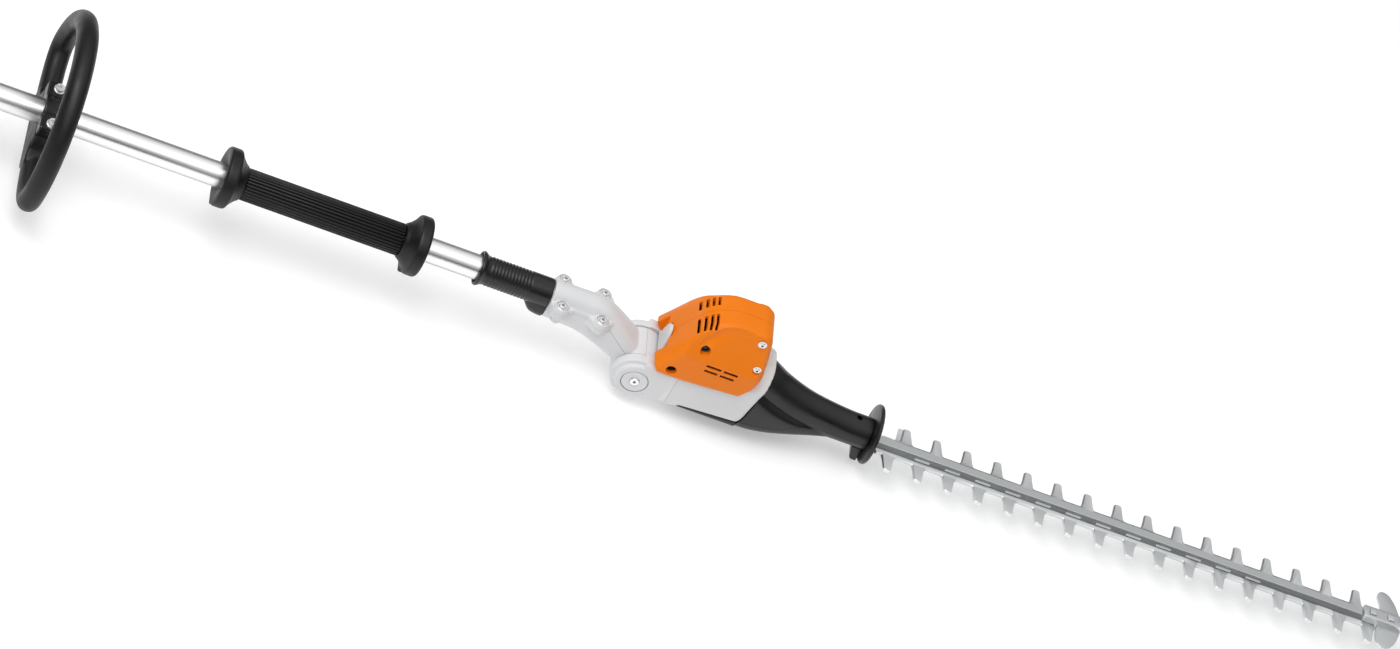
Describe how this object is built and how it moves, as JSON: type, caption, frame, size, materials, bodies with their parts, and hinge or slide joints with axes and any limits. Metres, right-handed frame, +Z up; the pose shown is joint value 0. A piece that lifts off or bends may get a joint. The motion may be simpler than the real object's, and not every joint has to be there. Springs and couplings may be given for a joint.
{
  "type": "cordless long-reach hedge trimmer",
  "caption": "Battery hedge trimmer on a straight shaft, with a loop handle, a rear trigger handle and a cutter head that tilts on a latched hinge.",
  "frame": {"origin": "middle of the bounding box's bottom face, under the shaft between the two grips", "axes": "+X along the shaft to the blade tip, +Y to the tool's left, +Z up"},
  "size_m": [2.048, 0.2164, 0.1816],
  "materials": {
    "orange_plastic": "fine moulded orange nylon with a low sheen",
    "grey_plastic": "pale grey moulded nylon, fine grain",
    "black_plastic": "black moulded nylon, satin",
    "black_rubber": "black soft-touch rubber, matt",
    "tube_aluminium": "drawn tube, satin anodised",
    "blade_steel": "ground blade steel",
    "bar_steel": "rolled steel bar, satin",
    "bright_steel": "bright zinc plated",
    "dark_steel": "hardened steel, lightly oiled",
    "motor_iron": "laminated stack, lacquered",
    "copper_windings": "lacquered copper wire",
    "white_nylon": "natural nylon",
    "board_laminate": "green coated board"
  },
  "bodies": {
    "shaft": {"shaft_tube": "tube_aluminium", "power_cable": "black_rubber", "grip_sleeve": "black_rubber", "grip_rear_flange": "black_rubber", "grip_front_flange": "black_rubber", "bracket_upper": "grey_plastic", "bracket_lower": "grey_plastic", "bracket_screw_rear_right": "bright_steel", "bracket_screw_rear_left": "bright_steel", "bracket_screw_front_right": "bright_steel", "bracket_screw_front_left": "bright_steel", "tilt_latch_spring": "bright_steel", "rear_shell_right": "black_plastic", "rear_shell_left": "black_plastic", "shell_screw_front": "bright_steel", "shell_screw_rear": "bright_steel", "trigger_pin": "dark_steel", "lockout_pin": "dark_steel", "trigger_switch": "white_nylon", "contact_block": "white_nylon", "controller_board": "board_laminate"},
    "loop": {"loop_handle": "black_rubber", "loop_clamp_cap": "black_plastic", "loop_screw_right": "bright_steel", "loop_screw_left": "bright_steel"},
    "sleeve": {"sliding_sleeve": "black_plastic"},
    "latch": {"tilt_latch_rod": "dark_steel"},
    "head": {"hinge_fork": "grey_plastic", "hinge_pin": "dark_steel", "hinge_bolt": "bright_steel", "hinge_cap": "grey_plastic", "gear_housing": "grey_plastic", "underside_cover": "black_plastic", "motor_cover_right": "orange_plastic", "motor_cover_left": "orange_plastic", "cover_screw_middle": "bright_steel", "cover_screw_rear": "bright_steel", "cover_screw_front_upper": "bright_steel", "cover_screw_front_lower": "bright_steel", "motor_stator": "motor_iron", "crank_bearing": "bright_steel", "neck_upper": "black_plastic", "neck_lower": "black_plastic", "guard_disc": "black_plastic", "guide_bar": "bar_steel", "tip_guard": "blade_steel", "tip_rivet_rear": "bright_steel", "tip_rivet_front": "bright_steel"},
    "motor": {"motor_rotor": "copper_windings", "motor_fan": "black_plastic", "motor_pinion": "dark_steel"},
    "crank": {"crank_gear": "dark_steel"},
    "cutter_upper": {"upper_blade": "blade_steel"},
    "cutter_lower": {"lower_blade": "blade_steel"},
    "trigger_body": {"trigger": "orange_plastic"},
    "lockout_body": {"lockout_lever": "black_plastic"},
    "battery": {"battery_pack": "black_plastic"},
    "battery_release": {"battery_latch": "orange_plastic"}
  },
  "joints": [
    {"name": "head_tilt", "type": "hinge", "parent": "shaft", "child": "head", "pos_m": [0.19, 0.0001, 0.034], "axis": [0, 1, 0], "range_deg": [-45, 70]},
    {"name": "loop_swing", "type": "hinge", "parent": "shaft", "child": "loop", "pos_m": [-0.444, 0.0001, 0.076], "axis": [1, 0, 0], "range_deg": [-90, 80]},
    {"name": "sleeve_slide", "type": "slide", "parent": "shaft", "child": "sleeve", "axis": [-1, 0, 0], "range_m": [0, 0.012], "stiffness_N_per_m": 400, "springref_m": -0.01},
    {"name": "latch_slide", "type": "slide", "parent": "shaft", "child": "latch", "axis": [-0.9703, 0, 0.2419], "range_m": [0, 0.005]},
    {"name": "crank_spin", "type": "hinge", "parent": "head", "child": "crank", "pos_m": [0.269, 0.0001, 0.046], "axis": [0, 0, 1], "continuous": true},
    {"name": "motor_spin", "type": "hinge", "parent": "head", "child": "motor", "pos_m": [0.241, 0.0001, 0.08], "axis": [0, 0, 1], "continuous": true},
    {"name": "upper_blade_slide", "type": "slide", "parent": "head", "child": "cutter_upper", "axis": [1, 0, 0], "range_m": [-0.005, 0.005]},
    {"name": "lower_blade_slide", "type": "slide", "parent": "head", "child": "cutter_lower", "axis": [1, 0, 0], "range_m": [-0.005, 0.005]},
    {"name": "trigger_pull", "type": "hinge", "parent": "shaft", "child": "trigger_body", "pos_m": [-0.701, 0.0001, 0.06], "axis": [0, 1, 0], "range_deg": [0, 8], "stiffness_Nm_per_rad": 0.5, "springref_deg": -11.46},
    {"name": "lockout_press", "type": "hinge", "parent": "shaft", "child": "lockout_body", "pos_m": [-0.6785, 0.0001, 0.0912], "axis": [0, -1, 0], "range_deg": [0, 7], "stiffness_Nm_per_rad": 0.5, "springref_deg": -11.46},
    {"name": "battery_slide", "type": "slide", "parent": "shaft", "child": "battery", "axis": [-1, 0, 0], "range_m": [0, 0.15]},
    {"name": "battery_latch_press", "type": "slide", "parent": "shaft", "child": "battery_release", "axis": [0, 0, -1], "range_m": [0, 0.0025], "stiffness_N_per_m": 800, "springref_m": -0.004}
  ],
  "couplings": [
    {"joint": "latch_slide", "follows": "sleeve_slide", "ratio": 0.4},
    {"joint": "motor_spin", "follows": "crank_spin", "ratio": -5},
    {"joint": "lower_blade_slide", "follows": "upper_blade_slide", "ratio": -1}
  ]
}
